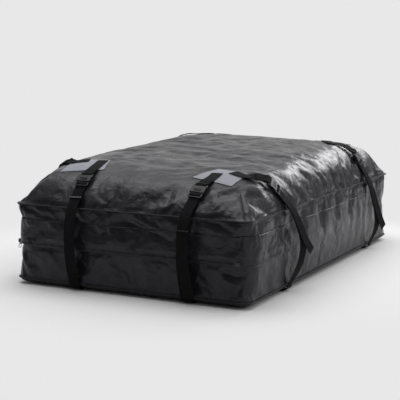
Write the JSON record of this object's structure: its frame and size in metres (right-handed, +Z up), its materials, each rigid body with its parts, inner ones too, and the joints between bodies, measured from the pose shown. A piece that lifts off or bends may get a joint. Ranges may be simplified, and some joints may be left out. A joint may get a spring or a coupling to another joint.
{
  "type": "roof cargo bag",
  "caption": "Soft roof cargo bag, zipped and packed, with a storm flap, corner patches and webbing straps that fasten with side-release buckles.",
  "frame": {"origin": "centre of the footprint, on the ground", "axes": "+Z up, +Y along the bag towards its rear, +X across it to the right; the front face with the widest view is at -Y"},
  "size_m": [0.9914, 1.4404, 0.4375],
  "materials": {
    "coated_fabric": "black coated polyester with a satin sheen",
    "patch_fabric": "pale grey coated reinforcing fabric",
    "seam_binding": "black woven binding, zip tape and chain",
    "webbing": "black woven polyester webbing",
    "moulded_plastic": "black moulded acetal, satin",
    "zip_metal": "plated zinc"
  },
  "bodies": {
    "bag": {"bag_body": "coated_fabric", "top_seam_welt": "seam_binding", "bottom_hem_welt": "seam_binding", "storm_flap": "coated_fabric", "zip": "seam_binding", "patch_front_left": "patch_fabric", "patch_front_right": "patch_fabric", "patch_rear_left": "patch_fabric", "patch_rear_right": "patch_fabric", "upper_strap_front_left": "webbing", "buckle_female_front_left": "moulded_plastic", "lower_strap_front_left": "webbing", "upper_strap_front_right": "webbing", "buckle_female_front_right": "moulded_plastic", "lower_strap_front_right": "webbing", "upper_strap_rear_left": "webbing", "buckle_female_rear_left": "moulded_plastic", "lower_strap_rear_left": "webbing", "upper_strap_rear_right": "webbing", "buckle_female_rear_right": "moulded_plastic", "lower_strap_rear_right": "webbing", "upper_strap_right_front": "webbing", "buckle_female_right_front": "moulded_plastic", "lower_strap_right_front": "webbing", "upper_strap_right_rear": "webbing", "buckle_female_right_rear": "moulded_plastic", "lower_strap_right_rear": "webbing", "upper_strap_left_front": "webbing", "buckle_female_left_front": "moulded_plastic", "lower_strap_left_front": "webbing", "upper_strap_left_rear": "webbing", "buckle_female_left_rear": "moulded_plastic", "lower_strap_left_rear": "webbing"},
    "buckle_male_front_left": {"buckle_male_front_left": "moulded_plastic"},
    "buckle_male_front_right": {"buckle_male_front_right": "moulded_plastic"},
    "buckle_male_rear_left": {"buckle_male_rear_left": "moulded_plastic"},
    "buckle_male_rear_right": {"buckle_male_rear_right": "moulded_plastic"},
    "buckle_male_right_front": {"buckle_male_right_front": "moulded_plastic"},
    "buckle_male_right_rear": {"buckle_male_right_rear": "moulded_plastic"},
    "buckle_male_left_front": {"buckle_male_left_front": "moulded_plastic"},
    "buckle_male_left_rear": {"buckle_male_left_rear": "moulded_plastic"},
    "web_keeper_front_left": {"web_keeper_front_left": "moulded_plastic"},
    "web_keeper_front_right": {"web_keeper_front_right": "moulded_plastic"},
    "web_keeper_rear_left": {"web_keeper_rear_left": "moulded_plastic"},
    "web_keeper_rear_right": {"web_keeper_rear_right": "moulded_plastic"},
    "zip_slider_left": {"zip_slider_left": "zip_metal"},
    "zip_slider_right": {"zip_slider_right": "zip_metal"},
    "zip_ring_left": {"zip_ring_left": "zip_metal"},
    "zip_ring_right": {"zip_ring_right": "zip_metal"}
  },
  "joints": [
    {"name": "buckle_release_front_left", "type": "slide", "parent": "bag", "child": "buckle_male_front_left", "axis": [0.03, -0.807, -0.5898], "range_m": [0, 0.026], "deforming": ["lower_strap_front_left"]},
    {"name": "buckle_release_front_right", "type": "slide", "parent": "bag", "child": "buckle_male_front_right", "axis": [-0.0728, -0.8083, -0.5843], "range_m": [0, 0.026], "deforming": ["lower_strap_front_right"]},
    {"name": "buckle_release_rear_left", "type": "slide", "parent": "bag", "child": "buckle_male_rear_left", "axis": [0.0268, 0.7472, -0.664], "range_m": [0, 0.026], "deforming": ["lower_strap_rear_left"]},
    {"name": "buckle_release_rear_right", "type": "slide", "parent": "bag", "child": "buckle_male_rear_right", "axis": [-0.064, 0.7423, -0.667], "range_m": [0, 0.026], "deforming": ["lower_strap_rear_right"]},
    {"name": "buckle_release_right_front", "type": "slide", "parent": "bag", "child": "buckle_male_right_front", "axis": [0.5188, 0.5157, -0.6819], "range_m": [0, 0.026], "deforming": ["lower_strap_right_front"]},
    {"name": "buckle_release_right_rear", "type": "slide", "parent": "bag", "child": "buckle_male_right_rear", "axis": [0.4836, 0.2545, -0.8375], "range_m": [0, 0.026], "deforming": ["lower_strap_right_rear"]},
    {"name": "buckle_release_left_front", "type": "slide", "parent": "bag", "child": "buckle_male_left_front", "axis": [-0.49, 0.4762, -0.7302], "range_m": [0, 0.026], "deforming": ["lower_strap_left_front"]},
    {"name": "buckle_release_left_rear", "type": "slide", "parent": "bag", "child": "buckle_male_left_rear", "axis": [-0.4475, 0.2323, -0.8636], "range_m": [0, 0.026], "deforming": ["lower_strap_left_rear"]},
    {"name": "keeper_slide_front_left", "type": "slide", "parent": "bag", "child": "web_keeper_front_left", "axis": [0.0301, -0.7028, -0.7108], "range_m": [-0.008, 0.012]},
    {"name": "keeper_slide_front_right", "type": "slide", "parent": "bag", "child": "web_keeper_front_right", "axis": [-0.0382, -0.1838, -0.9822], "range_m": [-0.008, 0.012]},
    {"name": "keeper_slide_rear_left", "type": "slide", "parent": "bag", "child": "web_keeper_rear_left", "axis": [0.0267, 0.6126, -0.79], "range_m": [-0.008, 0.012]},
    {"name": "keeper_slide_rear_right", "type": "slide", "parent": "bag", "child": "web_keeper_rear_right", "axis": [-0.0394, 0.1936, -0.9803], "range_m": [-0.008, 0.012]},
    {"name": "zip_slide_left", "type": "slide", "parent": "bag", "child": "zip_slider_left", "axis": [0, 1, 0], "range_m": [0, 0.09]},
    {"name": "zip_slide_right", "type": "slide", "parent": "bag", "child": "zip_slider_right", "axis": [-1, 0, 0], "range_m": [0, 0.11]},
    {"name": "ring_swing_left", "type": "hinge", "parent": "zip_slider_left", "child": "zip_ring_left", "pos_m": [-0.432, -0.644, 0.1275], "axis": [0, 1, 0], "range_deg": [0, 60]},
    {"name": "ring_swing_right", "type": "hinge", "parent": "zip_slider_right", "child": "zip_ring_right", "pos_m": [0.389, -0.685, 0.1275], "axis": [-1, 0, 0], "range_deg": [0, 60]}
  ]
}
